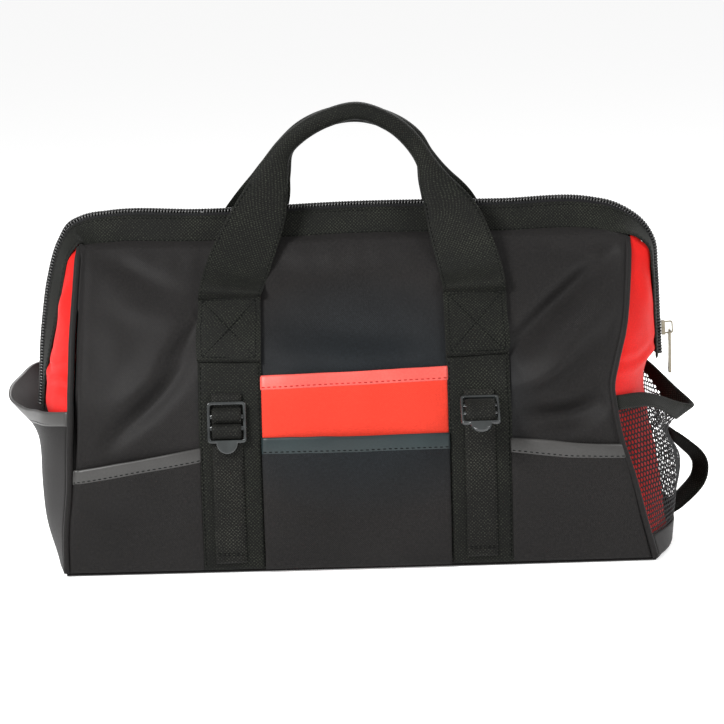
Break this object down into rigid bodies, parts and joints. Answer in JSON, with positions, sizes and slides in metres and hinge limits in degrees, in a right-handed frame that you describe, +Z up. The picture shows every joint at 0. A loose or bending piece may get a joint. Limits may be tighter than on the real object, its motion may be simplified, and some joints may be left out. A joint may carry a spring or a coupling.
{
  "type": "tool bag",
  "caption": "Closed gate-mouth tool bag with carry handles, a zipped mouth, outside pockets, a net pocket on one end and cinch straps with ladder locks.",
  "frame": {"origin": "centre of the base's flat underside, on the floor", "axes": "+Z up, +X to the right of the front along the mouth, -Y out of the front"},
  "size_m": [0.6035, 0.2796, 0.3809],
  "materials": {
    "black_nylon": "fine plain-woven nylon, slightly bluish black, soft sheen",
    "red_nylon": "fine plain-woven nylon, bright red",
    "black_webbing": "ribbed polypropylene webbing, greenish black",
    "zip_tape": "woven zip tape, black",
    "zip_teeth": "black plastic coil with light highlights",
    "grey_binding": "smooth coated binding, dark grey, stitched",
    "red_binding": "smooth coated binding, light red, stitched",
    "black_mesh": "open black net",
    "black_plastic": "black acetal, soft gloss",
    "zip_metal": "plated zinc, bright"
  },
  "bodies": {
    "bag": {"front_panel": "black_nylon", "back_panel": "black_nylon", "left_end_panel": "red_nylon", "right_end_panel": "red_nylon", "base_panel": "black_nylon", "piping_front_left": "black_nylon", "piping_back_left": "black_nylon", "piping_front_right": "black_nylon", "piping_back_right": "black_nylon", "mouth_band_front": "black_webbing", "zip_tape_front": "zip_tape", "mouth_band_back": "black_webbing", "zip_tape_back": "zip_tape", "zip_coil": "zip_teeth", "webbing_front_left": "black_webbing", "webbing_front_right": "black_webbing", "webbing_back_left": "black_webbing", "webbing_back_right": "black_webbing", "front_handle": "black_webbing", "back_handle": "black_webbing", "left_slip_pocket": "black_nylon", "left_slip_pocket_binding": "grey_binding", "right_slip_pocket": "black_nylon", "right_slip_pocket_binding": "grey_binding", "red_pocket": "red_nylon", "red_pocket_binding": "red_binding", "centre_pocket": "black_nylon", "centre_pocket_binding": "grey_binding", "left_end_pocket": "black_nylon", "left_end_pocket_binding": "grey_binding", "mesh_pocket_foot": "black_nylon", "mesh_pocket": "black_mesh", "mesh_pocket_binding": "black_webbing", "end_loop": "black_webbing", "anchor_strap_left": "black_webbing", "cinch_strap_left": "black_webbing", "ladder_lock_left": "black_plastic", "anchor_strap_right": "black_webbing", "cinch_strap_right": "black_webbing", "ladder_lock_right": "black_plastic", "zip_slider": "zip_metal"},
    "pull": {"zip_pull": "zip_metal"}
  },
  "joints": [
    {"name": "zip_pull_swing", "type": "hinge", "parent": "bag", "child": "pull", "pos_m": [0.26389, 0, 0.17465], "axis": [0, -1, 0], "range_deg": [0, 150]}
  ]
}
